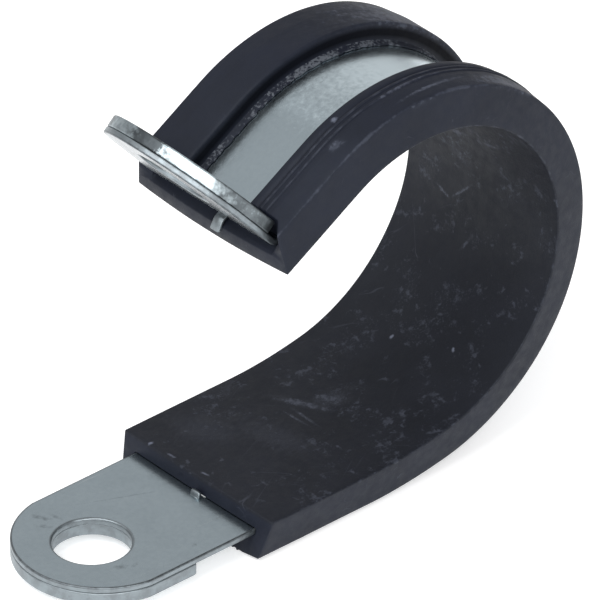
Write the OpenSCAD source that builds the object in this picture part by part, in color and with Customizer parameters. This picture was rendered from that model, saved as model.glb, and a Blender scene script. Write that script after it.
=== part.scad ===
// Rubber-lined P clip, delivered open: a bent steel strap with a fixing tab at
// each end, a reinforcing plate on each tab, and a rubber channel gripping the
// strap between the tabs. The origin is the centre of the lower fixing hole, on
// the face that seats on the panel; +Z runs along that hole, +X towards the loop.

/* [Strap] */
// Width of the strap
strap_w = 15; // [10:0.5:16]
// Thickness of the strap
strap_t = 0.55; // [0.4:0.05:1.2]
// Diameter of the two fixing holes
hole_d = 6.6; // [4.3:0.1:8]
// From a hole's centre to the tip of its tab
tip_reach = 6.4; // [5:0.1:7.5]

/* [Reinforcing plates] */
// Thickness of each plate
plate_t = 1.1; // [0.6:0.1:1.6]
// How far each plate runs past the hole's centre, towards the loop
plate_reach = 5; // [4.4:0.1:5.8]

/* [Rubber liner] */
// Width of the liner across its inner face
liner_w = 18.5; // [18:0.5:24]
// Thickness of the rubber between the strap and the cable
base_t = 1.2; // [0.8:0.1:3]
// Thickness of the lips that fold over the strap's outer face
lip_t = 1.8; // [0.8:0.1:2.4]
// Width of each lip
lip_w = 4.4; // [3:0.1:5]
// How far each side leans in from the inner face to the lips
side_lean = 0.75; // [0.2:0.05:1]
// Lean of the rubber's cut at the lower end, in degrees
lower_rake = 16; // [0:1:20]
// Lean of the rubber's cut at the upper end, in degrees
upper_rake = 22; // [18:1:26]
// How far the rubber's inner face runs on past the arm
upper_run = 2; // [1.6:0.1:3]

/* [Loop] */
// From the lower hole's centre to the end of the rubber
hole_to_liner = 11.2; // [9:0.1:16]
// Straight length of the lower leg under the rubber
leg_len = 11.3; // [6:0.1:20]
// Inner radius where the leg starts to rise
heel_r = 41; // [20:1:60]
// Angle of that gentle rise, in degrees
heel_angle = 11.6; // [5:0.1:20]
// Inner radius of the loop's far side
loop_r = 15.1; // [11:0.1:20]
// Angle turned by the far side, in degrees
loop_angle = 83; // [75:1:90]
// Inner radius over the top of the loop
crown_r = 14.4; // [11:0.1:20]
// Angle turned over the top, in degrees
crown_angle = 116; // [100:1:120]
// Straight length of the upper arm
arm_len = 7.1; // [5:0.1:12]

/* [Upper tab] */
// Inner radius of the outward bend
bend_r = 0.6; // [0.5:0.1:1.5]
// Angle of the outward bend, in degrees
bend_angle = 79; // [70:1:90]
// From the bend to the square end of the upper plate
bend_to_plate = 0.8; // [0.8:0.1:3]

/* [Stop tongues] */
// Width of the tongue lanced from the strap at each end of the rubber
tongue_w = 1; // [0.6:0.1:2]
// How far each tongue stands up in front of the rubber's cut end
tongue_len = 0.9; // [0.6:0.1:1.2]
// Length of the slot that the upper tongue leaves down the bend
slot_len = 1.5; // [1:0.1:2]

/* [Fit] */
// Clearance between the rubber and the metal
fit_gap = 0.05; // [0.02:0.01:0.1]
// Clearance between each plate and its tab
seat_gap = 0.02; // [0.01:0.01:0.05]

/* [Hidden] */
$fn = 96;

STRAIGHT = 0;
ARC = 1;
arc_step = 3.5;                      // degrees between stations round the loop
bend_step = 9;                       // and round the outward bend

face_z = plate_t + seat_gap + strap_t;       // strap's inner face on the lower leg
channel_half = strap_w / 2 + fit_gap;        // half the room inside the liner
base_low = fit_gap;                          // heights from the strap's inner face
base_top = base_low + base_t;
lip_top = -strap_t - fit_gap;
lip_low = lip_top - lip_t;
slot_half = liner_w / 2 - side_lean - lip_w; // half the metal showing between lips
shoulder_w = lip_w * 0.42;                   // sloping outer part of each lip
shoulder_drop = lip_t * 0.11;
rib_w = 0.28;                                // moulded ribs along each lip
rib_h = 0.12;
rib_gap = 0.3;
edge_r = 0.3;                                // bevel on the lips' inner edges
over = 2;                                    // how far a cutter runs past its cut
tongue_t = strap_t * 0.6;
lance_gap = 0.15;                            // room round each tongue
turn_r = bend_r + strap_t;                   // radius of the bend's inner face
// how far the lips' inner face runs on before it would meet the bend
lip_stop = 0.7 * sqrt(pow(bend_r, 2) - pow(bend_r - fit_gap, 2));
tip_r = strap_w / 2 + 0.1;                   // a tip is a shade flatter than a half circle

// Each step is [kind, length or signed radius of the strap's inner face, angle].
// A positive radius turns towards the cable.
loop_steps = [
    [ARC, heel_r + base_top, heel_angle],
    [ARC, loop_r + base_top, loop_angle],
    [ARC, crown_r + base_top, crown_angle],
    [STRAIGHT, arm_len, 0]
];
strap_route = concat(
    [[STRAIGHT, tip_reach + hole_to_liner + leg_len, 0]],
    loop_steps,
    [[ARC, -turn_r, bend_angle], [STRAIGHT, bend_to_plate + plate_reach + tip_reach, 0]]
);
liner_route = concat([[STRAIGHT, leg_len, 0]], loop_steps);
arm_route = concat([[STRAIGHT, hole_to_liner + leg_len, 0]], loop_steps);

// A station is [x, z, heading] on the strap's inner face.
function turned(step) = step[0] == STRAIGHT ? 0 : sign(step[1]) * step[2];
function moved(at, step, part = 1) =
    let (turn = turned(step) * part)
    step[0] == STRAIGHT
        ? [at[0] + step[1] * part * cos(at[2]), at[1] + step[1] * part * sin(at[2]), at[2]]
        : [at[0] + step[1] * (sin(at[2] + turn) - sin(at[2])),
           at[1] - step[1] * (cos(at[2] + turn) - cos(at[2])),
           at[2] + turn];
function spans(step) =
    step[0] == STRAIGHT ? 1 : ceil(step[2] / (step[1] > 0 ? arc_step : bend_step));
function stations(route, at, from = 0) =
    from == len(route)
        ? [at]
        : concat(
            [for (k = [0:spans(route[from]) - 1]) moved(at, route[from], k / spans(route[from]))],
            stations(route, moved(at, route[from]), from + 1)
        );
function route_end(route, at, from = 0) =
    from == len(route) ? at : route_end(route, moved(at, route[from]), from + 1);

// A point at a height towards the cable from a station
function raised(at, y) = [at[0] - y * sin(at[2]), at[1] + y * cos(at[2])];

strap_start = [-tip_reach, face_z, 0];
liner_start = [hole_to_liner, face_z, 0];
arm_end = route_end(arm_route, [0, face_z, 0]);
bend_end = moved(arm_end, [ARC, -turn_r, bend_angle]);
upper_hole = moved(bend_end, [STRAIGHT, bend_to_plate + plate_reach, 0]);

// Moves children to a station: their +x follows its heading and their +z faces
// the cable.
module at_station(at) {
    translate([at[0], 0, at[1]])
        rotate([0, -at[2], 0])
            children();
}

// What is trimmed off a square end to round it into a tip. The origin is the
// hole's centre and the tip is towards -x.
module tip_corners() {
    translate([tip_r - tip_reach, 0])
        difference() {
            translate([-tip_r - over, -tip_r - over])
                square([tip_r + over, 2 * (tip_r + over)]);
            circle(r = tip_r);
        }
}

module tip_trim() {
    translate([0, 0, -over])
        linear_extrude(2 * over + strap_t)
            tip_corners();
}

// Outline of a reinforcing plate, with its fixing hole at the origin
module plate_outline() {
    difference() {
        translate([-tip_reach, -strap_w / 2])
            square([tip_reach + plate_reach, strap_w]);
        tip_corners();
        circle(d = hole_d);
    }
}

module hole_cutter() {
    translate([0, 0, -over])
        cylinder(d = hole_d, h = strap_t + 2 * over);
}

// The strap as it leaves the folding tool: one strip of constant thickness
module folded_strip() {
    line = stations(strap_route, strap_start);
    inner = [for (at = line) raised(at, 0)];
    outer = [for (k = [len(line) - 1:-1:0]) raised(line[k], -strap_t)];
    rotate([90, 0, 0])
        linear_extrude(strap_w, center = true)
            polygon(concat(inner, outer));
}

// The slot left where the upper tongue is lanced out of the bend
module bend_slot() {
    slot_w = tongue_w + 2 * lance_gap;
    at_station(arm_end)
        translate([0, -slot_w / 2, -slot_len])
            cube([turn_r + over, slot_w, slot_len + over]);
}

// The slot under the rubber that the lower tongue is lanced from
module leg_slot() {
    slot_w = tongue_w + 2 * lance_gap;
    translate([hole_to_liner, -slot_w / 2, face_z - strap_t - over])
        cube([tongue_len, slot_w, strap_t + 2 * over]);
}

// The lower tongue stands in front of the rubber's end
module lower_tongue() {
    root = (strap_t - tongue_t) / 2;
    translate([hole_to_liner - tongue_t - fit_gap, -tongue_w / 2, face_z - strap_t + root])
        cube([tongue_t, tongue_w, strap_t - root + tongue_len]);
}

// How far the rubber's upper cut lies past the arm, at a height
function upper_cut(y) = upper_run + (y - base_top) * tan(upper_rake);

// The upper tongue runs on from the arm, under the rubber, and turns up beside its cut
module upper_tongue() {
    low = -(strap_t + tongue_t) / 2;
    high = low + tongue_t;
    thick = tongue_t / cos(upper_rake);
    function front(y) = upper_cut(y) + lance_gap;
    at_station(arm_end)
        rotate([90, 0, 0])
            linear_extrude(tongue_w, center = true)
                polygon([
                    [-tongue_t, low],
                    [front(low) + thick, low],
                    [front(tongue_len) + thick, tongue_len],
                    [front(tongue_len), tongue_len],
                    [front(high), high],
                    [-tongue_t, high]
                ]);
}

module strap() {
    color("silver")
        union() {
            difference() {
                folded_strip();
                translate([0, 0, face_z - strap_t]) {
                    tip_trim();
                    hole_cutter();
                }
                at_station(upper_hole)
                    mirror([1, 0, 0])
                        tip_trim();
                at_station(upper_hole)
                    hole_cutter();
                leg_slot();
                bend_slot();
            }
            lower_tongue();
            upper_tongue();
        }
}

// Half-width of the liner at a height of its cross-section
function side_x(y) = liner_w / 2 - side_lean * (base_top - y) / (base_top - lip_low);

// Outside of one lip and side wall, from the lip's inner edge to the inner face's
// corner, as [x, height]
shoulder_y = lip_low + shoulder_drop;
shoulder_x = side_x(shoulder_y);
rib_x = shoulder_x - shoulder_w - 2 * rib_w - rib_gap;
lip_outside = [
    [slot_half, lip_low + edge_r],
    [slot_half + edge_r, lip_low],
    [rib_x, lip_low],
    [rib_x + rib_w / 2, lip_low - rib_h],
    [rib_x + rib_w, lip_low],
    [rib_x + rib_w + rib_gap, lip_low],
    [rib_x + 1.5 * rib_w + rib_gap, lip_low - rib_h],
    [shoulder_x - shoulder_w, lip_low],
    [channel_half, shoulder_y - shoulder_drop * (shoulder_x - channel_half) / shoulder_w],
    [shoulder_x, shoulder_y],
    [liner_w / 2, base_top]
];
// Inside of the channel, point for point against the outside
lip_spans = len(lip_outside) - 2;
lip_inside = concat(
    [for (k = [0:lip_spans]) [slot_half + (channel_half - slot_half) * k / lip_spans, lip_top]],
    [[channel_half, base_low]]
);

function mirrored(points) = [for (k = [len(points) - 1:-1:0]) [-points[k][0], points[k][1]]];

// How far a point of the section slides along the arm to reach the upper cut. The
// base and the side walls run past the bend; the lips stop where it begins.
function upper_slide(p) =
    abs(p[0]) > channel_half || p[1] > 0
        ? upper_cut(p[1])
        : lip_stop + (p[1] - lip_top) * tan(upper_rake);

// The liner's section swept round the loop as one closed skin, with raked cuts at
// its two ends. Each ring holds the outside points and then the inside points.
module swept_channel() {
    outside = concat(lip_outside, mirrored(lip_outside));
    inside = concat(lip_inside, mirrored(lip_inside));
    line = stations(liner_route, liner_start);
    count = len(outside);
    ring = 2 * count;
    last = (len(line) - 1) * ring;
    points = [
        for (s = [0:len(line) - 1], p = concat(outside, inside))
            let (
                slide = s == 0 ? p[1] * tan(lower_rake)
                    : s == len(line) - 1 ? upper_slide(p)
                    : 0,
                at = moved(line[s], [STRAIGHT, slide, 0]),
                q = raised(at, p[1])
            )
            [q[0], p[0], q[1]]
    ];
    // order of one ring's points round the section
    around = concat([for (k = [0:count - 1]) k], [for (k = [count - 1:-1:0]) count + k]);
    sides = [
        for (s = [0:len(line) - 2], k = [0:ring - 1])
            let (a = s * ring + around[k], b = s * ring + around[(k + 1) % ring])
                [a, b, b + ring, a + ring]
    ];
    caps = [
        for (k = [0:count - 2])
            each [
                [k, k + count, k + count + 1, k + 1],
                [last + k, last + k + 1, last + k + count + 1, last + k + count]
            ]
    ];
    polyhedron(points, concat(sides, caps), convexity = 6);
}

module rubber_liner() {
    color([0.16, 0.17, 0.2])
        swept_channel();
}

module lower_plate() {
    color("gainsboro")
        linear_extrude(plate_t)
            plate_outline();
}

module upper_plate() {
    color("gainsboro")
        at_station(upper_hole)
            translate([0, 0, -strap_t - seat_gap - plate_t])
                linear_extrude(plate_t)
                    mirror([1, 0])
                        plate_outline();
}

strap();
rubber_liner();
lower_plate();
upper_plate();
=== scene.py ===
import math

import bmesh
import bpy
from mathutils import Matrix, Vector, noise


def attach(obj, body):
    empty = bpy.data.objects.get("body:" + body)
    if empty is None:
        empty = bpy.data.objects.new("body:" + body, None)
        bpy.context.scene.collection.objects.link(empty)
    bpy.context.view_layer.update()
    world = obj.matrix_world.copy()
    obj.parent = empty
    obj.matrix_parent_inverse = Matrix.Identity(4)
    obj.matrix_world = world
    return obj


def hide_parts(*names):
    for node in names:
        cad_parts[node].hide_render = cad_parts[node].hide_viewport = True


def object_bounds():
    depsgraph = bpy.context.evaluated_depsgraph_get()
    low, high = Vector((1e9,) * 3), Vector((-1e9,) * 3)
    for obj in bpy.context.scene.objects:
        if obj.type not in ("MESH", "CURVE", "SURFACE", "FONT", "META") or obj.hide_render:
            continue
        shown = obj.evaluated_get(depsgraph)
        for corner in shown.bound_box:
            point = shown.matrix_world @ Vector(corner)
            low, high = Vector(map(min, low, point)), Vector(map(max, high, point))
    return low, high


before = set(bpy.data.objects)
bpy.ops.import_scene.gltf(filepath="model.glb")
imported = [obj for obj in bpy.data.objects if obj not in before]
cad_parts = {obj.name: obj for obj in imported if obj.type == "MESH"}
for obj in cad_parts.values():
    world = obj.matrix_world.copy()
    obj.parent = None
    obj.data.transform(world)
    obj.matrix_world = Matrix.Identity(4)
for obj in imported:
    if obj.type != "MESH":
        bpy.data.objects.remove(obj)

cadLow, cadHigh = [[float(value) for value in corner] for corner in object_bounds()]
mm = 0.001
print("frame loaded:", ", ".join(sorted(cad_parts)))

# Lengths in the dictionaries are in mm and angles in degrees, as a maker writes them.


# the line that strap and rubber are folded along, on the strap's inner face
fold = {
    "faceHeight": 1.67,          # inner face above the mounting face
    "linerStart": 11.2,          # from the lower hole to the rubber
    "leg": 11.3,
    "heel": (42.25, 11.6),       # radius and angle
    "loop": (16.35, 83.0),
    "crown": (15.65, 116.0),
    "arm": 7.1,
    "bend": (-1.15, 79.0),       # a negative radius turns away from the cable
    "bendToHole": 5.8,
    "lead": 14.0,                # spare line at both ends
}


def arcLength(arc):
    return abs(arc[0]) * math.radians(arc[1])


heelStart = fold["linerStart"] + fold["leg"]
loopStart = heelStart + arcLength(fold["heel"])
crownStart = loopStart + arcLength(fold["loop"])
armStart = crownStart + arcLength(fold["crown"])
armEnd = armStart + fold["arm"]
bendEnd = armEnd + arcLength(fold["bend"])
upperHole = bendEnd + fold["bendToHole"]


def walk(start, steps, arcStep=1.0):    # start is (x, z, heading); a step is a length or (radius, angle)
    x, z, heading = start
    heading = math.radians(heading)
    points = [(x, z)]
    for step in steps:
        if isinstance(step, tuple):
            radius, angle = step
            count = math.ceil(angle / (arcStep if radius > 10 else 4 * arcStep))
            turn = math.copysign(math.radians(angle) / count, radius)
            for _ in range(count):
                x += radius * (math.sin(heading + turn) - math.sin(heading))
                z -= radius * (math.cos(heading + turn) - math.cos(heading))
                heading += turn
                points.append((x, z))
        else:
            x += step * math.cos(heading)
            z += step * math.sin(heading)
            points.append((x, z))
    return points, (x, z, math.degrees(heading))


def makeRoute(name, start, steps):
    points, _ = walk(start, steps)
    curve = bpy.data.curves.new(name, "CURVE")
    curve.dimensions = "3D"
    line = curve.splines.new("POLY")
    line.points.add(len(points) - 1)
    for point, (px, pz) in zip(line.points, points):
        point.co = (px * mm, 0.0, pz * mm, 1.0)
    route = bpy.data.objects.new(name, curve)
    bpy.context.scene.collection.objects.link(route)
    return route


lead = fold["lead"]
routeStart = (-lead, fold["faceHeight"], 0.0)
clipSteps = [lead + heelStart, fold["heel"], fold["loop"], fold["crown"], fold["arm"]]
armEndPlace = walk(routeStart, clipSteps)[1]
strapRoute = makeRoute("strapRoute", routeStart, clipSteps + [fold["bend"], fold["bendToHole"] + lead])
linerRoute = makeRoute("linerRoute", routeStart, clipSteps + [lead])
print("routes drawn, hole to hole", round(upperHole, 2), "mm along the strap")


# helpers for node trees

def addNode(tree, kind, feed=None, **settings):
    node = tree.nodes.new(kind)
    for key, value in settings.items():
        setattr(node, key, value)
    for key, value in (feed or {}).items():
        if isinstance(value, bpy.types.NodeSocket):
            tree.links.new(value, node.inputs[key])
        else:
            node.inputs[key].default_value = value
    return node


def sums(tree, operation, first, second=0.0, third=0.0):
    return addNode(tree, "ShaderNodeMath", {0: first, 1: second, 2: third},
                   operation=operation).outputs[0]


def times(tree, first, second):
    return sums(tree, "MULTIPLY", first, second)


def vectors(tree, operation, first, second=(0.0, 0.0, 0.0), scale=1.0):
    feed = {0: first, "Scale": scale} if operation == "SCALE" else {0: first, 1: second}
    return addNode(tree, "ShaderNodeVectorMath", feed, operation=operation).outputs[0]


def ramp(tree, value, low, high, outLow=0.0, outHigh=1.0):      # a smooth step between two values
    return addNode(tree, "ShaderNodeMapRange",
                   {0: value, 1: low, 2: high, 3: outLow, 4: outHigh},
                   interpolation_type="SMOOTHSTEP").outputs[0]


def addNoise(tree, vector, scale, detail, roughness=0.5, distortion=0.0):
    return addNode(tree, "ShaderNodeTexNoise",
                   {"Vector": vector, "Scale": scale, "Detail": detail, "Roughness": roughness,
                    "Distortion": distortion}).outputs[0]


def readAttribute(tree, name):      # a place or a mask that the mesh carries
    return addNode(tree, "ShaderNodeAttribute", attribute_type="GEOMETRY",
                   attribute_name=name).outputs


def addSockets(tree, inputs, outputs):
    for name, kind, value in inputs:
        socket = tree.interface.new_socket(name=name, in_out="INPUT",
                                           socket_type="NodeSocket" + kind)
        if value is not None:
            socket.default_value = value
    for name, kind in outputs:
        tree.interface.new_socket(name=name, in_out="OUTPUT", socket_type="NodeSocket" + kind)
    return tree.nodes.new("NodeGroupInput").outputs, tree.nodes.new("NodeGroupOutput").inputs


def makeFoldTree():     # bends flat pieces, drawn as (length, across, height), along a route
    tree = bpy.data.node_groups.new("foldAlongRoute", "GeometryNodeTree")
    given, out = addSockets(tree, (
        ("Geometry", "Geometry", None), ("Route", "Object", None), ("Lead", "Float", 0.014),
        ("Waviness", "Float", 0.0), ("Wave Length", "Float", 10.0), ("Wave Seed", "Float", 0.0),
        ("Finish", "Material", None)), (("Geometry", "Geometry"),))
    flat = addNode(tree, "GeometryNodeInputPosition").outputs[0]
    kept = addNode(tree, "GeometryNodeStoreNamedAttribute",
                   {"Geometry": given["Geometry"], "Name": "flatPlace"},
                   data_type="FLOAT_VECTOR", domain="POINT")
    tree.links.new(flat, [s for s in kept.inputs if s.name == "Value" and s.enabled][0])
    spacing = sums(tree, "DIVIDE", 1.0, given["Wave Length"])
    waves = addNode(tree, "ShaderNodeTexNoise",
                    {"Vector": vectors(tree, "SCALE", flat, scale=1 / mm),
                     "W": given["Wave Seed"], "Scale": spacing, "Detail": 2.0,
                     "Roughness": 0.45}, noise_dimensions="4D")
    centred = vectors(tree, "SUBTRACT", waves.outputs["Color"], (0.5, 0.5, 0.5))
    wavy = vectors(tree, "ADD", flat, vectors(tree, "SCALE", centred, scale=given["Waviness"]))
    part = addNode(tree, "ShaderNodeSeparateXYZ", {0: wavy}).outputs
    route = addNode(tree, "GeometryNodeObjectInfo", {"Object": given["Route"]})
    place = addNode(tree, "GeometryNodeSampleCurve",
                    {"Curves": route.outputs["Geometry"],
                     "Length": sums(tree, "ADD", part[0], given["Lead"])}, mode="LENGTH")
    up = vectors(tree, "CROSS_PRODUCT", place.outputs["Tangent"], (0.0, 1.0, 0.0))
    raised = vectors(tree, "ADD", place.outputs["Position"],
                     vectors(tree, "SCALE", up, scale=part[2]))
    across = addNode(tree, "ShaderNodeCombineXYZ", {1: part[1]}).outputs[0]
    moved = addNode(tree, "GeometryNodeSetPosition",
                    {"Geometry": kept.outputs[0],
                     "Position": vectors(tree, "ADD", raised, across)})
    real = addNode(tree, "GeometryNodeRealizeInstances", {"Geometry": moved.outputs[0]})
    finished = addNode(tree, "GeometryNodeSetMaterial",
                       {"Geometry": real.outputs[0], "Material": given["Finish"]})
    tree.links.new(finished.outputs[0], out["Geometry"])
    return tree


foldTree = makeFoldTree()


def bakeModifiers(piece):           # turns the evaluated piece into a plain mesh
    view = bpy.context.evaluated_depsgraph_get()
    mesh = bpy.data.meshes.new_from_object(piece.evaluated_get(view),
                                           preserve_all_data_layers=True, depsgraph=view)
    piece.modifiers.clear()
    old, piece.data = piece.data, mesh
    bpy.data.meshes.remove(old)
    mesh.name = piece.name


def foldPiece(name, blank, route, finish, waviness=0.0, waveLength=10.0, seed=0.0):
    mesh = bpy.data.meshes.new(name)
    bmesh.ops.recalc_face_normals(blank, faces=blank.faces)
    blank.to_mesh(mesh)
    blank.free()
    piece = bpy.data.objects.new(name, mesh)
    bpy.context.scene.collection.objects.link(piece)
    modifier = piece.modifiers.new("Fold", "NODES")
    modifier.node_group = foldTree
    values = {"Route": route, "Lead": lead * mm, "Waviness": waviness * mm,
              "Wave Length": waveLength, "Wave Seed": seed, "Finish": finish}
    for socket in foldTree.interface.items_tree:
        if socket.in_out == "INPUT" and socket.name in values:
            modifier[socket.identifier] = values[socket.name]
    bakeModifiers(piece)
    return piece


def joinPieces(main, others):
    whole = bmesh.new()
    for piece in [main] + others:
        whole.from_mesh(piece.data)
    whole.to_mesh(main.data)
    whole.free()
    for piece in others:
        mesh = piece.data
        bpy.data.objects.remove(piece)
        bpy.data.meshes.remove(mesh)


def smoothPiece(piece, sharpAngle=50):      # flats keep their own normals next to rounded edges
    mesh = piece.data
    mesh.shade_smooth()
    mesh.set_sharp_from_angle(angle=math.radians(sharpAngle))
    modifier = piece.modifiers.new("Weighted", "WEIGHTED_NORMAL")
    modifier.keep_sharp = True
    modifier.weight = 60
    bakeModifiers(piece)


# finishes

def makeScratches():    # thin broken lines that run one way
    tree = bpy.data.node_groups.new("hairScratches", "ShaderNodeTree")
    given, out = addSockets(tree, (
        ("Vector", "Vector", None), ("Turn", "Float", 0.0), ("Length", "Float", 6.0),
        ("Spacing", "Float", 0.5), ("Amount", "Float", 0.5)), (("Mask", "Float"),))
    turned = addNode(tree, "ShaderNodeVectorRotate",
                     {"Vector": given["Vector"], "Angle": given["Turn"]},
                     rotation_type="Z_AXIS").outputs[0]
    narrow = sums(tree, "DIVIDE", 1.0, given["Spacing"])
    lengthways = sums(tree, "DIVIDE", 1.0, given["Length"])
    stretch = addNode(tree, "ShaderNodeCombineXYZ", {0: lengthways, 1: narrow, 2: narrow}).outputs[0]
    drawn = vectors(tree, "MULTIPLY", turned, stretch)
    lines = addNoise(tree, drawn, 1.0, 1.0, distortion=0.3)
    off = sums(tree, "ABSOLUTE", sums(tree, "SUBTRACT", lines, 0.5))
    line = ramp(tree, off, 0.004, 0.014, 1.0, 0.0)      # a line runs where the noise is at its middle
    breaks = addNoise(tree, drawn, 0.37, 2.0, 0.7)
    gateStart = sums(tree, "SUBTRACT", 0.72, times(tree, given["Amount"], 0.3))
    gate = ramp(tree, breaks, gateStart, 0.78)
    tree.links.new(times(tree, line, gate), out["Mask"])
    return tree


def makeMottle():       # soft uneven patches from one value to another
    tree = bpy.data.node_groups.new("mottle", "ShaderNodeTree")
    given, out = addSockets(tree, (
        ("Vector", "Vector", None), ("Size", "Float", 4.0), ("Contrast", "Float", 0.5),
        ("Detail", "Float", 4.0)), (("Value", "Float"),))
    clouds = addNoise(tree, given["Vector"], sums(tree, "DIVIDE", 1.0, given["Size"]),
                      given["Detail"], 0.6)
    low = times(tree, given["Contrast"], 0.45)
    value = ramp(tree, clouds, low, sums(tree, "SUBTRACT", 1.0, low))
    tree.links.new(value, out["Value"])
    return tree


def makeRimWear():      # a ragged mask along the rims of a piece
    tree = bpy.data.node_groups.new("rimWear", "ShaderNodeTree")
    given, out = addSockets(tree, (
        ("Vector", "Vector", None), ("Rim", "Float", 0.0), ("Size", "Float", 1.0),
        ("Amount", "Float", 0.5)), (("Mask", "Float"),))
    rough = addNoise(tree, given["Vector"], sums(tree, "DIVIDE", 1.0, given["Size"]), 4.0, 0.65)
    level = sums(tree, "ADD", times(tree, rough, 0.9), times(tree, given["Rim"], 0.6))
    start = sums(tree, "SUBTRACT", 1.15, times(tree, given["Amount"], 0.4))
    mask = ramp(tree, level, start, sums(tree, "ADD", start, 0.25))
    mask = times(tree, mask, ramp(tree, given["Rim"], 0.0, 0.6))
    tree.links.new(mask, out["Mask"])
    return tree


def makeSmear():        # one placed rub mark, ragged round its edge
    tree = bpy.data.node_groups.new("rubMark", "ShaderNodeTree")
    given, out = addSockets(tree, (
        ("Vector", "Vector", None), ("Place", "Vector", None), ("Turn", "Float", 0.0),
        ("Length", "Float", 3.0), ("Width", "Float", 1.0), ("Ragged", "Float", 0.6)),
        (("Mask", "Float"),))
    local = addNode(tree, "ShaderNodeVectorRotate",
                    {"Vector": vectors(tree, "SUBTRACT", given["Vector"], given["Place"]),
                     "Angle": times(tree, given["Turn"], -1.0)},
                    rotation_type="Z_AXIS").outputs[0]
    size = addNode(tree, "ShaderNodeCombineXYZ",
                   {0: sums(tree, "DIVIDE", 2.0, given["Length"]),
                    1: sums(tree, "DIVIDE", 2.0, given["Width"]), 2: 1.4}).outputs[0]
    reach = addNode(tree, "ShaderNodeVectorMath", {0: vectors(tree, "MULTIPLY", local, size)},
                    operation="LENGTH").outputs["Value"]
    rough = addNoise(tree, given["Vector"], 2.2, 4.0, 0.65)
    ragged = times(tree, sums(tree, "SUBTRACT", rough, 0.5), given["Ragged"])
    edge = sums(tree, "ADD", reach, times(tree, ragged, 2.0))
    mask = ramp(tree, edge, 0.2, 1.1, 1.0, 0.0)
    tree.links.new(mask, out["Mask"])
    return tree


def makeGrain():        # crumbs that gather where the density is high
    tree = bpy.data.node_groups.new("grain", "ShaderNodeTree")
    given, out = addSockets(tree, (
        ("Vector", "Vector", None), ("Size", "Float", 0.5), ("Density", "Float", 0.5)),
        (("Mask", "Float"),))
    crumbs = addNoise(tree, given["Vector"], sums(tree, "DIVIDE", 1.0, given["Size"]), 3.0, 0.62, 0.25)
    start = sums(tree, "MULTIPLY_ADD", given["Density"], -0.30, 0.74)
    mask = ramp(tree, crumbs, start, sums(tree, "ADD", start, 0.16))
    tree.links.new(mask, out["Mask"])
    return tree


scratchGroup, mottleGroup, rimGroup = makeScratches(), makeMottle(), makeRimWear()
smearGroup, grainGroup = makeSmear(), makeGrain()


def addGroup(tree, group, **feed):      # Size=0.4 feeds the socket named Size
    node = tree.nodes.new("ShaderNodeGroup")
    node.node_tree = group
    for key, value in feed.items():
        if isinstance(value, bpy.types.NodeSocket):
            tree.links.new(value, node.inputs[key])
        else:
            node.inputs[key].default_value = value
    return node.outputs[0]


def mottles(tree, place, looks):        # one set of patches for each (size, contrast)
    return [addGroup(tree, mottleGroup, Vector=place, Size=size, Contrast=contrast)
            for size, contrast in looks]


def mixColour(tree, factor, first, second):
    node = addNode(tree, "ShaderNodeMix", data_type="RGBA")
    for index, value in ((0, factor), (6, first), (7, second)):
        socket = node.inputs[index]
        if isinstance(value, bpy.types.NodeSocket):
            tree.links.new(value, socket)
        elif socket.type == "RGBA":
            socket.default_value = (*value[:3], 1.0)
        else:
            socket.default_value = value
    return node.outputs[2]


def startMaterial(name):
    material = bpy.data.materials.new(name)
    material.use_nodes = True
    tree = material.node_tree
    shader = tree.nodes["Principled BSDF"]
    place = vectors(tree, "SCALE", readAttribute(tree, "flatPlace")["Vector"], scale=1 / mm)
    return material, tree, shader, place, readAttribute(tree, "rim")["Fac"]


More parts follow.
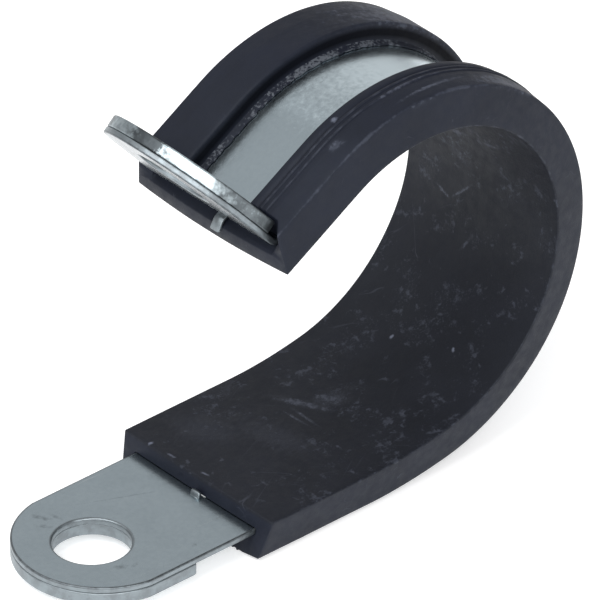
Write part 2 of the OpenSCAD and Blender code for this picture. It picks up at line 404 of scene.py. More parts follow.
rubberLook = {
    "base": (0.0042, 0.0052, 0.0108),
    "worn": (0.0100, 0.0122, 0.0225),
    "innerBase": (0.0046, 0.0050, 0.0082),
    "innerWorn": (0.0105, 0.0115, 0.0175),
    "dustAndSheen": (0.140, 0.155, 0.205),
    "flash": (0.085, 0.094, 0.110),
    # patterns are (size, contrast), grains (size, strength), scratches (turn, length, spacing, amount)
    "patches": (5.0, 0.55), "cloud": (0.9, 0.50), "clumps": (3.2, 0.85),
    "powder": (0.22, 0.08), "crumbs": (0.75, 0.16), "flashCrumbs": 0.26,
    "scratches": ((0.7, 5.0, 0.9, 0.45), (-0.5, 7.0, 1.1, 0.35)), "scratchDust": 0.20,
    # rim wear greys the rims with dust; on the rib crests it also paints their highlight streaks
    "rimWear": (1.3, 0.55), "rimDustAndSheen": 0.18,
    "innerFace": (0.95, 1.2),    # heights between which the inner face's colours come in
    # painted shade on the lips' inner walls in the slot: colour darkened and gloss cut
    "wallShade": 0.7, "wallDull": 0.75,
    "relief": (0.35, 0.06),      # strength and depth
    "roughness": (0.50, 0.66),
    "specular": 0.29,
    "tint": (0.84, 0.92, 1.0),
    "rubLevel": 1.3, "lipLevel": -2.35, "ragged": 0.9,
    "gather": 4.0, "haze": 0.30, "spotArea": 0.45,      # a mark smaller than this is one solid spot
    # marks on the inner face: along, across, turn, length, width, strength
    "rubs": (
        (25.0, 2.2, -65.0, 6.8, 1.3, 0.26), (27.0, 1.1, -45.0, 3.6, 2.6, 0.24),
        (23.1, 1.0, -88.0, 4.0, 0.40, 0.26), (23.8, 0.6, -92.0, 4.4, 0.45, 0.30),
        (20.0, 0.4, -80.0, 9.5, 4.2, 0.155), (16.5, 4.8, -60.0, 7.0, 5.0, 0.14),
        (35.8, 2.3, 0.0, 0.6, 0.4, 0.80),
        (37.8, -3.6, 30.0, 0.6, 0.35, 0.75), (50.05, 4.5, 69.0, 2.6, 0.45, 0.30),
        (51.1, 2.3, -43.0, 4.4, 0.45, 0.32), (57.5, 2.3, -76.0, 2.6, 0.7, 0.34),
        (58.4, -1.8, -76.0, 3.0, 0.6, 0.30), (54.7, 2.9, 64.0, 4.2, 1.3, 0.20),
        (46.8, 0.5, -27.0, 2.8, 0.5, 0.22), (11.8, 6.2, 0.0, 0.6, 0.45, 0.75),
        (12.1, -0.2, -80.0, 0.9, 0.35, 0.65), (11.8, 3.7, -85.0, 1.3, 0.4, 0.45),
    ),
    # marks on the lips' outer faces; the last two are painted sheen, broad pale patches that light the
    # lips' tops
    "lipRubsAndSheen": (
        (77.6, -6.0, -2.0, 8.0, 0.45, 0.34), (76.0, -7.3, -3.0, 9.0, 0.50, 0.32),
        (78.0, -8.6, 0.0, 4.0, 0.50, 0.26), (83.7, -4.8, 0.0, 0.6, 0.6, 0.60),
        (85.3, -6.9, 20.0, 1.8, 1.2, 0.30), (69.0, -7.7, 0.0, 9.0, 2.8, 0.34),
        (68.5, 5.6, 0.0, 18.0, 9.0, 0.30),
    ),
}


def makeRubber():
    look = rubberLook
    material, tree, shader, place, rim = startMaterial("rubberFinish")
    flash = readAttribute(tree, "flash")["Fac"]
    wall = readAttribute(tree, "wall")["Fac"]
    height = addNode(tree, "ShaderNodeSeparateXYZ", {0: place}).outputs[2]
    innerFace = ramp(tree, height, *look["innerFace"])
    patches, cloud, clumps = mottles(tree, place, (look["patches"], look["cloud"], look["clumps"]))
    worn = sums(tree, "MULTIPLY_ADD", patches, 0.5, times(tree, cloud, 0.25))
    colour = mixColour(tree, worn, mixColour(tree, innerFace, look["base"], look["innerBase"]),
                       mixColour(tree, innerFace, look["worn"], look["innerWorn"]))
    density = times(tree, clumps, sums(tree, "MULTIPLY_ADD", innerFace, 0.54, 0.26))
    spots, haze = 0.0, 0.0
    for level, marks in ((look["rubLevel"], look["rubs"]), (look["lipLevel"], look["lipRubsAndSheen"])):
        for along, across, turn, length, width, strength in marks:
            rub = addGroup(tree, smearGroup, Vector=place, Place=(along, across, level),
                           Turn=math.radians(turn), Length=length, Width=width, Ragged=look["ragged"])
            density = sums(tree, "MAXIMUM", density, times(tree, rub, strength * look["gather"]))
            haze = sums(tree, "MAXIMUM", haze, times(tree, rub, strength * look["haze"]))
            if length * width < look["spotArea"]:
                spots = sums(tree, "MAXIMUM", spots, times(tree, rub, strength))
    dustAndSheen = haze
    for size, strength in (look["crumbs"], look["powder"]):
        grain = addGroup(tree, grainGroup, Vector=place, Size=size, Density=density)
        dustAndSheen = sums(tree, "MULTIPLY_ADD", grain, strength, dustAndSheen)
    dustAndSheen = sums(tree, "MAXIMUM", dustAndSheen, spots)
    for turn, length, spacing, amount in look["scratches"]:
        scratch = addGroup(tree, scratchGroup, Vector=place, Turn=turn, Length=length,
                           Spacing=spacing, Amount=amount)
        dustAndSheen = sums(tree, "MAXIMUM", dustAndSheen, times(tree, scratch, look["scratchDust"]))
    # dust along the rims, with painted highlight streaks along the rib crests
    size, amount = look["rimWear"]
    wear = addGroup(tree, rimGroup, Vector=place, Rim=rim, Size=size, Amount=amount)
    dustAndSheen = sums(tree, "MAXIMUM", dustAndSheen, times(tree, wear, look["rimDustAndSheen"]))
    # the dust colour also paints sheen: the broad patches on the lips' tops are painted highlights
    colour = mixColour(tree, dustAndSheen, colour, look["dustAndSheen"])
    torn = addGroup(tree, grainGroup, Vector=place, Size=look["flashCrumbs"],
                    Density=sums(tree, "MULTIPLY_ADD", clumps, 0.70, 0.55))
    colour = mixColour(tree, times(tree, flash, torn), colour, look["flash"])
    # painted shade: the lips' inner walls beside the strap are darkened towards black
    colour = mixColour(tree, times(tree, wall, look["wallShade"]), colour, (0.0, 0.0, 0.0))
    low, high = look["roughness"]
    roughness = sums(tree, "MULTIPLY_ADD", cloud, high - low, low)
    skin = addNoise(tree, place, 6.0, 5.0, 0.7)
    relief = sums(tree, "ADD", times(tree, skin, 0.5),
                  sums(tree, "ADD", times(tree, dustAndSheen, 0.5), times(tree, cloud, 0.5)))
    strength, depth = look["relief"]
    bump = addNode(tree, "ShaderNodeBump",
                   {"Strength": strength, "Distance": depth * mm, "Height": relief})
    specular = look["specular"]
    gloss = sums(tree, "MULTIPLY_ADD", wall, -look["wallDull"] * specular, specular)
    tree.links.new(colour, shader.inputs["Base Color"])
    tree.links.new(roughness, shader.inputs["Roughness"])
    tree.links.new(bump.outputs[0], shader.inputs["Normal"])
    tree.links.new(gloss, shader.inputs["Specular IOR Level"])
    shader.inputs["Specular Tint"].default_value = (*look["tint"], 1.0)
    return material


steelLook = {
    "base": (0.375, 0.440, 0.470),
    "dull": (0.325, 0.385, 0.415),
    "bright": (0.62, 0.65, 0.67),
    "edge": (0.200, 0.222, 0.236),
    # dark colour for the real smudges, and for painted shade along the rolled top edge and on the upper
    # plate's edge
    "paintedShadeAndSmudge": (0.060, 0.068, 0.074),
    # painted shade for the upper tab's face towards the cable
    "paintedUnderShade": (0.130, 0.148, 0.158),
    # pale colour for painted highlights
    "paintedHighlight": (0.66, 0.76, 0.80),
    "roughness": (0.18, 0.28),
    # patterns are (size, contrast), scratches (turn, length, spacing, amount)
    "patches": (3.5, 0.45), "haze": (0.5, 0.55), "blots": (0.9, 0.80),
    "scratches": ((0.06, 9.0, 0.35, 0.50), (0.9, 5.0, 0.6, 0.35)),
    # the second pair is where the rim mask brings in the painted shade line along the strap's rolled top
    # edge
    "side": (0.30, 0.60), "paintedShadeRim": (0.70, 1.0), "sideRoughness": 0.20,
    "relief": (0.25, 0.03),      # strength and depth
    # smudges and one long scratch on the lower tab: along, across, turn, length, width, strength
    "smudges": (
        (-0.9, 5.4, -65.0, 2.2, 0.7, 0.40), (-1.5, 4.2, -50.0, 1.6, 0.6, 0.36),
        (0.1, 4.6, -80.0, 1.4, 0.5, 0.30), (-0.7, -4.4, -30.0, 1.6, 0.8, 0.38),
        (0.4, -4.9, 10.0, 1.0, 0.5, 0.30), (5.9, -6.0, 30.0, 0.8, 0.5, 0.36),
        (5.9, 3.3, -24.6, 9.0, 0.16, 0.22),
    ),
    # painted highlights, broad pale patches that light the metal: along, across, height, length, width,
    # strength
    "paintedHighlights": ((73.3, 0.0, -0.55, 22.1, 40.0, 1.0),),
    # painted highlights and painted shade along the upper plate's edge, as (across, level), in a span from
    # its start
    "bandStart": -7.5, "bandSpan": 16.2, "bandWobble": 1.2,
    "bands": ((-7.3, 0.15), (-6.4, 0.6), (-5.0, 1.0), (-2.9, 1.0), (-2.1, 0.02), (0.4, 0.04),
              (1.2, 0.42), (4.4, 0.48), (5.2, 0.12), (7.4, 0.12)),
}


# stretches of painted highlight and painted shade
def bandLight(tree, bands, across, haze):       # wobbling light and dark stretches
    start, span, wobble = [steelLook[key] for key in ("bandStart", "bandSpan", "bandWobble")]
    wavy = sums(tree, "MULTIPLY_ADD", haze, wobble, across)
    scale = addNode(tree, "ShaderNodeValToRGB",
                    {0: sums(tree, "MULTIPLY_ADD", wavy, 1 / span, -start / span)})
    stops = scale.color_ramp.elements
    for rank, (place, level) in enumerate(bands):
        stop = stops[rank] if rank < 2 else stops.new(1.0)
        stop.position = (place + wobble / 2 - start) / span
        stop.color = (level, level, level, 1.0)
    return scale.outputs[0]


def makeSteel(name, seedShift, smudges=(), paintedHighlights=(), bands=None):
    look = steelLook
    material, tree, shader, marked, rim = startMaterial(name)
    own = addNode(tree, "ShaderNodeSeparateXYZ", {0: marked}).outputs
    place = vectors(tree, "ADD", marked, (seedShift, 0.0, seedShift))
    patches, haze, blots = mottles(tree, place, (look["patches"], look["haze"], look["blots"]))
    dull = sums(tree, "MULTIPLY_ADD", patches, 0.55, times(tree, haze, 0.45))
    colour = mixColour(tree, dull, look["base"], look["dull"])
    scratches = 0.0
    for turn, length, spacing, amount in look["scratches"]:
        scratch = addGroup(tree, scratchGroup, Vector=place, Turn=turn, Length=length,
                           Spacing=spacing, Amount=amount)
        scratches = sums(tree, "MAXIMUM", scratches, scratch)
    colour = mixColour(tree, times(tree, scratches, 0.3), colour, look["bright"])
    # painted shade: the upper tab's face towards the cable is darkened, in blotches
    under = times(tree, ramp(tree, own[0], bendEnd - 0.8, bendEnd + 0.1),
                  ramp(tree, own[2], -0.08, -0.02))     # the upper tab's face towards the cable
    under = times(tree, under, sums(tree, "MULTIPLY_ADD", blots, 0.5, 0.45))
    colour = mixColour(tree, under, colour, look["paintedUnderShade"])
    smear = sums(tree, "MULTIPLY_ADD", haze, 1.2, 0.1)
    for x, y, turn, length, width, strength in smudges:
        smudge = addGroup(tree, smearGroup, Vector=marked, Place=(x, y, 0.0),
                          Turn=math.radians(turn), Length=length, Width=width, Ragged=1.0)
        colour = mixColour(tree, times(tree, times(tree, smudge, strength), smear),
                           colour, look["paintedShadeAndSmudge"])
    # painted highlight: a broad pale patch lights the strap's outside at the crown
    for x, y, z, length, width, strength in paintedHighlights:
        paintedHighlight = addGroup(tree, smearGroup, Vector=marked, Place=(x, y, z), Length=length,
                         Width=width, Ragged=0.5)
        colour = mixColour(tree, times(tree, paintedHighlight, strength), colour, look["paintedHighlight"])
    side = ramp(tree, rim, *look["side"])
    edgeMottleAndPaintedLight = sums(tree, "MULTIPLY_ADD", blots, 0.3, 0.05)
    dark, light = look["edge"], look["base"]
    # on the upper plate the sides get painted highlights and painted shade in stretches instead of the
    # sheared edges' mottling
    if bands:
        edgeMottleAndPaintedLight = times(tree, bandLight(tree, bands, own[1], haze),
                      sums(tree, "MULTIPLY_ADD", blots, 0.6, 0.55))
        dark, light = look["paintedShadeAndSmudge"], look["paintedHighlight"]
    colour = mixColour(tree, side, colour, mixColour(tree, edgeMottleAndPaintedLight, dark, light))
    # painted shade: a dark line along the strap's rolled top edge, where the rim mask is highest
    paintedShadeAndSmudge = times(tree, ramp(tree, rim, *look["paintedShadeRim"]),
                   sums(tree, "MULTIPLY_ADD", haze, -0.5, 0.75))
    colour = mixColour(tree, paintedShadeAndSmudge, colour, look["paintedShadeAndSmudge"])
    low, high = look["roughness"]
    roughness = sums(tree, "MULTIPLY_ADD", dull, high - low, low)
    roughness = sums(tree, "MULTIPLY_ADD", side, look["sideRoughness"], roughness)
    relief = sums(tree, "SUBTRACT", times(tree, haze, 0.5), times(tree, scratches, 0.6))
    relief = sums(tree, "ADD", relief, times(tree, times(tree, side, blots), 1.5))
    strength, depth = look["relief"]
    bump = addNode(tree, "ShaderNodeBump",
                   {"Strength": strength, "Distance": depth * mm, "Height": relief})
    tree.links.new(colour, shader.inputs["Base Color"])
    tree.links.new(roughness, shader.inputs["Roughness"])
    tree.links.new(bump.outputs[0], shader.inputs["Normal"])
    shader.inputs["Metallic"].default_value = 1.0
    return material


rubberFinish = makeRubber()
strapFinish = makeSteel("strapSteel", 0.0, steelLook["smudges"], steelLook["paintedHighlights"])
plateFinish = makeSteel("plateSteel", 37.0)
upperFinish = makeSteel("upperPlateSteel", 71.0, bands=steelLook["bands"])
print("finishes made")


# punched sheet

def arcPoints(centre, radius, startAngle, endAngle, count):
    points = []
    for k in range(count + 1):
        angle = math.radians(startAngle + (endAngle - startAngle) * k / count)
        points.append((centre[0] + radius * math.cos(angle), centre[1] + radius * math.sin(angle)))
    return points


def holeLoop(centre, radius, count=96):     # clockwise, so that its outside is the hole
    return arcPoints(centre, radius, 360.0, 0.0, count)[:-1]


def slotLoop(start, end, halfWidth, side, corner=0.12):
    loop = []
    for cx, cy, angle in ((end - corner, halfWidth - corner, 90),
                          (end - corner, corner - halfWidth, 0),
                          (start + corner, corner - halfWidth, -90),
                          (start + corner, halfWidth - corner, -180)):
        loop += arcPoints((cx, cy + side), corner, angle, angle - 90, 4)
    return loop


def insetLoop(loop, inset):     # moves a loop into the material; outlines run anticlockwise
    moved = []
    count = len(loop)
    for k, (x, y) in enumerate(loop):
        before, after = loop[k - 1], loop[(k + 1) % count]
        first = Vector((y - before[1], before[0] - x)).normalized()
        second = Vector((after[1] - y, x - after[0])).normalized()
        normal = (first + second).normalized()
        push = inset / max(0.5, normal.dot(first))
        moved.append((x - normal.x * push, y - normal.y * push))
    return moved


def bridgeRings(blank, rings):
    for first, second in zip(rings, rings[1:]):
        for k in range(len(first)):
            after = (k + 1) % len(first)
            blank.faces.new((first[k], second[k], second[after], first[after]))


def ringEdges(blank, ring):
    return [blank.edges.get((ring[k], ring[(k + 1) % len(ring)])) for k in range(len(ring))]


def fillFlat(blank, edges):
    bmesh.ops.triangle_fill(blank, use_beauty=True, use_dissolve=False, edges=edges)


def cutAcross(blank, places):       # gives a blank the edges that it bends at
    for place in places:
        bmesh.ops.bisect_plane(blank, geom=blank.verts[:] + blank.edges[:] + blank.faces[:],
                               dist=1e-7, plane_co=(place * mm, 0, 0), plane_no=(1, 0, 0))


# an edge is (top roll, bottom roll, rim mask at its top)
def sheetBlank(loops, top, bottom, outerEdge, innerEdge, cuts=()):
    blank = bmesh.new()
    rimLayer = blank.verts.layers.float.new("rim")
    fade, side = sheet["rimFade"], sheet["sideRim"]
    quarter = [math.radians(90 * k / 4) for k in range(5)]
    caps = ([], [])
    for loop in loops:
        topRoll, bottomRoll, topRim = outerEdge if loop is loops[0] else innerEdge
        profile = [(fade, top, 0.0), (topRoll * 1.6, top, 0.3 * topRim)]
        profile += [(topRoll * (1 - math.sin(a)), top - topRoll * (1 - math.cos(a)), topRim)
                    for a in quarter]
        profile += [(0.0, top - topRoll * 1.5, side), (0.0, bottom + bottomRoll * 1.5, side)]
        profile += [(bottomRoll * (1 - math.cos(a)), bottom + bottomRoll * (1 - math.sin(a)), side)
                    for a in quarter]
        profile += [(bottomRoll * 1.6, bottom, 0.2), (fade, bottom, 0.0)]
        rings = []
        for inset, height, rim in profile:
            ring = []
            for x, y in insetLoop(loop, inset):
                vert = blank.verts.new((x * mm, y * mm, height * mm))
                vert[rimLayer] = rim
                ring.append(vert)
            rings.append(ring)
        bridgeRings(blank, rings)
        for cap, ring in zip(caps, (rings[0], rings[-1])):
            cap += ringEdges(blank, ring)
    for cap in caps:
        fillFlat(blank, cap)
    cutAcross(blank, cuts)
    return blank


def arcCuts(start, arc, step):
    count = math.ceil(arc[1] / step)
    return [start + arcLength(arc) * k / count for k in range(count + 1)]


sheet = {
    "strapHalf": 7.5, "strapThick": 0.55, "plateThick": 1.1, "seatGap": 0.02,
    "holeRadius": 3.3, "tipReach": 6.4, "tipRadius": 7.6, "plateReach": 5.0,
    "strapEdge": (0.12, 0.12, 1.0), "strapHoleEdge": (0.17, 0.03, 0.6),
    "plateEdge": (0.12, 0.16, 0.6), "plateHoleEdge": (0.03, 0.16, 0.6),
    "plateCorner": 0.4, "slotHalf": 0.65, "slotLength": 0.9, "bendSlotTail": 0.55,
    "lowerSide": -0.6, "upperSide": -1.1,       # the slots' places across the strap
    "rimFade": 0.34, "sideRim": 0.6,            # how far the rim mask reaches, and its level on a side
    "cutSteps": {"heel": 1.5, "loop": 1.6, "crown": 1.6, "bend": 6.0},
}


def tipArc(hole, way):      # the rounded end past a hole; way is 1 or -1 along the strip
    reach, radius = sheet["tipReach"], sheet["tipRadius"]
    half = math.degrees(math.asin(sheet["strapHalf"] / radius))
    centre = (hole + way * (reach - radius), 0.0)
    middle = 0.0 if way > 0 else 180.0
    return arcPoints(centre, radius, middle - half, middle + half, 64)


def plateLoops(hole, way):      # the square end faces the rubber
    half, corner = sheet["strapHalf"], sheet["plateCorner"]
    square = hole - way * sheet["plateReach"]
    middle = 180.0 if way > 0 else 0.0
    x = square + way * corner
    outline = tipArc(hole, way)
    outline += arcPoints((x, way * (half - corner)), corner, middle - 90, middle, 6)
    outline += arcPoints((x, way * (corner - half)), corner, middle, middle + 90, 6)
    return [outline, holeLoop((hole, 0.0), sheet["holeRadius"])]


def makeStrap():
    thick = sheet["strapThick"]
    loops = [tipArc(0.0, -1) + tipArc(upperHole, 1),
             holeLoop((0.0, 0.0), sheet["holeRadius"]),
             holeLoop((upperHole, 0.0), sheet["holeRadius"]),
             slotLoop(fold["linerStart"], fold["linerStart"] + sheet["slotLength"], sheet["slotHalf"],
                      sheet["lowerSide"]),
             slotLoop(armEnd, bendEnd + sheet["bendSlotTail"], sheet["slotHalf"], sheet["upperSide"])]
    cuts = []
    for name, start in (("heel", heelStart), ("loop", loopStart), ("crown", crownStart), ("bend", armEnd)):
        cuts += arcCuts(start, fold[name], sheet["cutSteps"][name])
    blank = sheetBlank(loops, 0.0, -thick, sheet["strapEdge"], sheet["strapHoleEdge"], cuts)
    strap = foldPiece("strapBand", blank, strapRoute, strapFinish)
    joinPieces(strap, [makeLowerTongue(), makeUpperTongue()])
    smoothPiece(strap)
    return strap


tongue = {
    "halfWidth": 0.5, "thick": 0.33, "edge": 0.05, "corner": 0.1, "rim": 0.6, "cutStep": 5.0,
    # length inside the strap or under the rubber, (radius, angle) of its rise, length of its tip
    "lower": (1.2, (0.45, 76.0), 0.42), "lowerGap": 0.22,
    "upper": (1.55, (0.80, 30.0), 0.78), "upperBack": 0.33,
}


def tongueBlank(length, side, cuts):
    half, thick, corner = tongue["halfWidth"], tongue["thick"], tongue["corner"]
    outline = [(0.0, -half), (length - corner, -half), (length, corner - half),
               (length, half - corner), (length - corner, half), (0.0, half)]
    blank = bmesh.new()
    rimLayer = blank.verts.layers.float.new("rim")
    edge = tongue["edge"]
    rings = []
    for inset, height in ((edge, thick / 2), (0.0, thick / 2 - edge),
                          (0.0, edge - thick / 2), (edge, -thick / 2)):
        rings.append([blank.verts.new((x * mm, (y + side) * mm, height * mm))
                      for x, y in insetLoop(outline, inset)])
        for vert in rings[-1]:
            vert[rimLayer] = tongue["rim"]
    bridgeRings(blank, rings)
    blank.faces.new(rings[0])
    blank.faces.new(rings[-1][::-1])
    cutAcross(blank, cuts)
    return blank


def makeTongue(name, start, side, shape):     # start is where its foot begins, inside the strap
    foot, arc, tip = shape
    back = (start[0] - lead * math.cos(math.radians(start[2])),
            start[1] - lead * math.sin(math.radians(start[2])), start[2])
    route = makeRoute(name + "Route", back, [lead + foot, arc, tip + lead])
    cuts = arcCuts(foot, arc, tongue["cutStep"])
    blank = tongueBlank(foot + arcLength(arc) + tip, side, cuts)
    piece = foldPiece(name, blank, route, strapFinish)
    bpy.data.objects.remove(route)
    return piece


def makeLowerTongue():      # stands up in front of the rubber's lower end
    foot, (radius, angle), tip = tongue["lower"]
    angle = math.radians(angle)
    reach = radius * math.sin(angle) + tip * math.cos(angle) + tongue["thick"] / 2
    start = fold["linerStart"] - tongue["lowerGap"] - reach - foot
    return makeTongue("lowerTongue", (start, fold["faceHeight"] - sheet["strapThick"] / 2, 0.0),
                      sheet["lowerSide"], tongue["lower"])


def makeUpperTongue():      # runs under the rubber's upper end and lifts past its cut
    x, z, heading = armEndPlace
    angle = math.radians(heading)
    middle, back = -sheet["strapThick"] / 2, tongue["upperBack"]
    start = (x - middle * math.sin(angle) - back * math.cos(angle),
             z + middle * math.cos(angle) - back * math.sin(angle), heading)
    return makeTongue("upperTongue", start, sheet["upperSide"], tongue["upper"])


def makePlate(name, hole, way, finish):
    top = -sheet["strapThick"] - sheet["seatGap"]
    blank = sheetBlank(plateLoops(hole, way), top, top - sheet["plateThick"],
                       sheet["plateEdge"], sheet["plateHoleEdge"])
    plate = foldPiece(name, blank, strapRoute, finish)
    smoothPiece(plate)
    return plate


strapBand = makeStrap()
lowerPlate = makePlate("lowerPlate", 0.0, -1, plateFinish)
upperPlate = makePlate("upperPlate", upperHole, 1, upperFinish)
print("strap folded:", len(strapBand.data.polygons), "faces")


# rubber channel

liner = {
    "half": 9.25, "sideLean": 0.75, "channelHalf": 7.55,
    "nearEdge": 4.1, "farEdge": (3.75, 3.6), "flashEdge": 3.05, "flashThick": (0.26, 0.12),
    "baseLow": 0.05, "baseTop": 1.25, "lipTop": -0.60, "lipLow": -2.40,
    "shoulderWidth": 1.85, "shoulderDrop": 0.20,
    "ribWidth": 0.28, "ribHeight": 0.12, "ribGap": 0.30, "ribStart": 6.15, "notch": (0.12, 0.11),
    "flashRag": 0.16,
    "crown": 0.10,               # swell of the inner face at its middle
    "lowerRake": 16.0, "upperRake": 22.0, "upperRun": 2.0, "lipStop": 0.168, "rakeFade": 4.5,
    "lowerBow": 0.10, "upperBow": 0.30,      # how far the cut ends belly out
    "ringStep": 0.42, "pointStep": 0.45, "cutRound": 0.08,
    # how far each corner of the section is rounded
    "edgeRound": 0.13, "shoulderRound": (0.16, 0.5), "channelRound": 0.15,
    "nearRound": (0.26, 0.06), "farRound": (0.24, 0.06),
    # the rib crests get a high rim mask, so the rim dust paints highlight streaks along them
    "rimFade": 0.7, "ribRim": 0.9, "cutRim": 0.4,
    "waviness": 0.07, "waveLength": 9.0, "waveSeed": 3.0,
}


def upperCut(height):       # how far the rubber's upper cut lies past the arm
    return liner["upperRun"] + (height - liner["baseTop"]) * math.tan(math.radians(liner["upperRake"]))


def roundedPath(corners, step):     # corners are (across, height, radius); ends stay sharp
    path = [Vector(corners[0][:2])]
    for before, (x, y, radius), after in zip(corners, corners[1:], corners[2:]):
        here = Vector((x, y))
        back = (Vector(before[:2]) - here).normalized()
        on = (Vector(after[:2]) - here).normalized()
        if radius == 0:
            path.append(here)
            continue
        half = back.angle(on) / 2
        reach = radius / math.tan(half)
        centre = here + (back + on).normalized() * (radius / math.sin(half))
        start, end = here + back * reach, here + on * reach
        turn = (start - centre).angle_signed(end - centre)
        count = max(2, round(abs(math.degrees(turn)) / 22))
        for k in range(count + 1):
            angle = -turn * k / count
            arm = start - centre
            path.append(centre + Vector((arm.x * math.cos(angle) - arm.y * math.sin(angle),
                                         arm.x * math.sin(angle) + arm.y * math.cos(angle))))
    path.append(Vector(corners[-1][:2]))
    full = [path[0]]
    for point in path[1:]:
        gap = (point - full[-1]).length
        count = max(1, math.ceil(gap / step))
        full += [full[-1].lerp(point, k / count) for k in range(1, count)] + [point]
    return full


def liftedSide(height):     # half the width of the rubber at a height
    at = liner
    return at["half"] - at["sideLean"] * (at["baseTop"] - height) / (at["baseTop"] - at["lipLow"])


def nearLip(low, top):      # two ribs and a notch, then the wall down to the strap
    at = liner
    corners, x = [], at["ribStart"]
    for _ in range(2):
        for k in range(5):
            angle = math.pi * k / 4
            corners.append((x - at["ribWidth"] / 2 * (1 - math.cos(angle)),
                            low - at["ribHeight"] * math.sin(angle), 0))
        x -= at["ribWidth"] + at["ribGap"]
    half, deep = at["notch"]
    x += at["ribGap"] - half
    corners += [(x, low, 0), (x - half, low + deep, 0), (x - 2 * half, low, 0)]
    outer, foot = at["nearRound"]
    return corners + [(at["nearEdge"], low, outer), (at["nearEdge"], top, foot)]


def farLip(low, top):       # a plain lip with a thin ragged flash at its foot
    at = liner
    edge, foot = at["farEdge"]
    thick, thin = at["flashThick"]
    outerRound, footRound = at["farRound"]
    return [(edge, low, outerRound), (foot, top - thick, footRound),
            (at["flashEdge"], top - thin, 0), (at["flashEdge"], top, 0)]


def lipSide(lip):       # half of the section, as (place, rim mask, flash mask, wall mask)
    at = liner
    low, top = at["lipLow"], at["lipTop"]
    shoulderY = low + at["shoulderDrop"]
    shoulderX = liftedSide(shoulderY)
    upperRound, lowerRound = at["shoulderRound"]
    corners = [(0.0, at["baseTop"], 0), (at["half"], at["baseTop"], at["edgeRound"]),
               (shoulderX, shoulderY, upperRound), (shoulderX - at["shoulderWidth"], low, lowerRound)]
    corners += lip(low, top)
    corners += [(at["channelHalf"], top, at["channelRound"]),
                (at["channelHalf"], at["baseLow"], at["channelRound"]), (0.0, at["baseLow"], 0)]
    rims = [Vector((at["half"], at["baseTop"])), Vector((shoulderX, shoulderY))]
    points = []
    for p in roundedPath(corners, at["pointStep"]):
        if p.y > at["baseTop"] - 0.01:
            p = Vector((p.x, p.y + at["crown"] * (1 - (p.x / at["half"]) ** 2)))
        rim = max(0.0, 1 - min((p - place).length for place in rims) / at["rimFade"])
        rim = at["ribRim"] if p.y < low - at["ribHeight"] / 2 else rim
        inSlot = p.x < at["nearEdge"] + 0.02
        flash = inSlot and lip is farLip and top - at["flashThick"][0] - 0.02 < p.y < top + 0.01
        wall = inSlot and low + 0.3 < p.y < top - at["flashThick"][0] - 0.1
        points.append((p, rim, float(flash), float(wall)))
    return points


def linerSection():     # one closed loop
    left = [(Vector((-p.x, p.y)), *masks) for p, *masks in reversed(lipSide(nearLip)[1:-1])]
    return lipSide(farLip) + left


def rakedShift(along, total, across, height):       # slides the section's points at the two cuts
    at = liner
    belly = 1 - (across / at["half"]) ** 2

    def fade(distance):
        t = min(1.0, max(0.0, distance / at["rakeFade"]))
        return 1 - t * t * (3 - 2 * t)

    low = height * math.tan(math.radians(at["lowerRake"])) - at["lowerBow"] * belly
    lips = at["lipStop"] + (height - at["lipTop"]) * math.tan(math.radians(at["upperRake"]))
    walls = upperCut(height) + at["upperBow"] * belly
    shoulderX = liftedSide(at["lipLow"] + at["shoulderDrop"])
    part = max((abs(across) - at["channelHalf"]) / (shoulderX - at["channelHalf"]),
               (height - at["lipTop"]) / (at["baseLow"] - at["lipTop"]))
    part = min(1.0, max(0.0, part))
    high = lips + (walls - lips) * part
    return low * fade(along) + high * fade(total - along)


def makeLiner():
    at = liner
    loop = linerSection()
    total = armEnd - fold["linerStart"]
    count = math.ceil(total / at["ringStep"])
    edge = at["cutRound"]
    stops = [(total * k / count, 0.0) for k in range(1, count)]
    ends = [(0.0, edge), (edge * 0.3, edge * 0.3), (edge, 0.0)]
    stops = ends + stops + [(total - along, inset) for along, inset in reversed(ends)]
    loop.reverse()              # anticlockwise for insetLoop
    points = [(p.x, p.y) for p, *_ in loop]
    blank = bmesh.new()
    rimLayer = blank.verts.layers.float.new("rim")
    flashLayer = blank.verts.layers.float.new("flash")
    wallLayer = blank.verts.layers.float.new("wall")
    rings = []
    for along, inset in stops:
        ring = []
        for (x, y), (_, rim, flash, wall) in zip(insetLoop(points, inset), loop):
            place = fold["linerStart"] + along + rakedShift(along, total, x, y)
            if flash and 0 < x < at["flashEdge"] + 0.1:
                x += at["flashRag"] * noise.fractal(Vector((place * 1.7, 0.0, 0.0)), 0.8, 2.0, 4)
            vert = blank.verts.new((place * mm, x * mm, y * mm))
            vert[rimLayer] = max(rim, at["cutRim"] if inset else 0.0)
            vert[flashLayer] = flash
            vert[wallLayer] = wall
            ring.append(vert)
        rings.append(ring)
    bridgeRings(blank, rings)
    for ring in (rings[0], rings[-1]):
        fillFlat(blank, ringEdges(blank, ring))
    piece = foldPiece("rubberChannel", blank, linerRoute, rubberFinish,
                      at["waviness"], at["waveLength"], at["waveSeed"])
    smoothPiece(piece)
    return piece


rubberChannel = makeLiner()
print("rubber folded:", len(rubberChannel.data.polygons), "faces")
for helper in (strapRoute, linerRoute):
    bpy.data.objects.remove(helper)

for piece, node, slotName in ((strapBand, "strap", "strap"),
                              (rubberChannel, "rubber_liner", "rubber"),
                              (lowerPlate, "lower_plate", "plates"),
                              (upperPlate, "upper_plate", "plates")):
    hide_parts(node)
    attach(piece, "root")


# studio

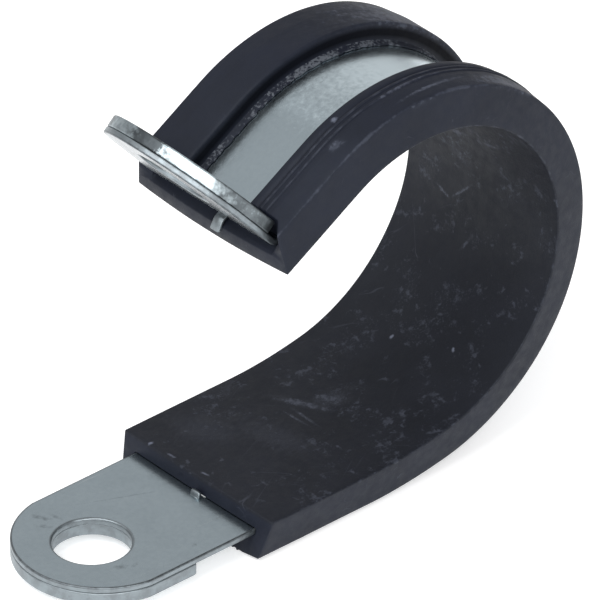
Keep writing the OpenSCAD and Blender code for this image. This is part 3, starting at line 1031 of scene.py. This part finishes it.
studio = {
    "floorSize": 3000.0, "floorGap": 0.02, "floorColour": (0.86, 0.86, 0.86), "floorGlow": 0.42,
    "worldColour": (1.0, 1.0, 1.02), "worldStrength": 0.45,
    # name: direction to the light, distance, size, watts
    "lights": {
        "leftBox": ((-0.62, 0.02, 0.80), 700.0, 520.0, 3.3),
        "frontFill": ((-0.45, -0.85, 0.55), 900.0, 700.0, 6.0),
        "backBox": ((0.55, 0.63, 0.55), 900.0, 900.0, 0.6),
        "topBox": ((-0.25, 0.75, 0.70), 900.0, 700.0, 0.4),
    },
    "azimuth": -41.4, "elevation": 33.3, "distance": 1200.0,
    "aim": (23.27, 0.694, 14.77), "lens": 877.7,
}


def makeFloor():
    half = studio["floorSize"] / 2 * mm
    mesh = bpy.data.meshes.new("studioFloor")
    level = cadLow[2] - studio["floorGap"] * mm
    corners = ((-half, -half), (half, -half), (half, half), (-half, half))
    mesh.from_pydata([(x, y, level) for x, y in corners], [], [(0, 1, 2, 3)])
    floor = bpy.data.objects.new("studioFloor", mesh)
    bpy.context.scene.collection.objects.link(floor)
    material = bpy.data.materials.new("floorPaint")
    material.use_nodes = True
    shader = material.node_tree.nodes["Principled BSDF"]
    shader.inputs["Base Color"].default_value = (*studio["floorColour"], 1.0)
    shader.inputs["Roughness"].default_value = 0.9
    shader.inputs["Specular IOR Level"].default_value = 0.1
    shader.inputs["Emission Color"].default_value = (1.0, 1.0, 1.0, 1.0)
    shader.inputs["Emission Strength"].default_value = studio["floorGlow"]
    mesh.materials.append(material)


def makeLights():
    aim = Vector(studio["aim"]) * mm
    for name, (direction, distance, size, watts) in studio["lights"].items():
        data = bpy.data.lights.new(name, "AREA")
        data.shape = "SQUARE"
        data.size = size * mm
        data.energy = watts
        light = bpy.data.objects.new(name, data)
        toLight = Vector(direction).normalized()
        light.location = aim + toLight * distance * mm
        light.rotation_euler = toLight.to_track_quat("Z", "Y").to_euler()
        bpy.context.scene.collection.objects.link(light)
    world = bpy.data.worlds.new("studioWorld")
    world.use_nodes = True
    background = world.node_tree.nodes["Background"]
    background.inputs[0].default_value = (*studio["worldColour"], 1.0)
    background.inputs[1].default_value = studio["worldStrength"]
    bpy.context.scene.world = world


def makeCamera():
    azimuth, elevation = math.radians(studio["azimuth"]), math.radians(studio["elevation"])
    back = Vector((math.sin(azimuth) * math.cos(elevation), -math.cos(azimuth) * math.cos(elevation),
                   math.sin(elevation)))
    data = bpy.data.cameras.new("studioCamera")
    data.lens = studio["lens"]
    data.sensor_width = 36.0
    data.clip_start, data.clip_end = 0.05, 20.0
    camera = bpy.data.objects.new("studioCamera", data)
    camera.location = (Vector(studio["aim"]) + back * studio["distance"]) * mm
    camera.rotation_euler = back.to_track_quat("Z", "Y").to_euler()
    bpy.context.scene.collection.objects.link(camera)
    bpy.context.scene.camera = camera


makeFloor()
makeLights()
makeCamera()
bpy.context.scene.view_settings.view_transform = "Standard"
print("studio set")
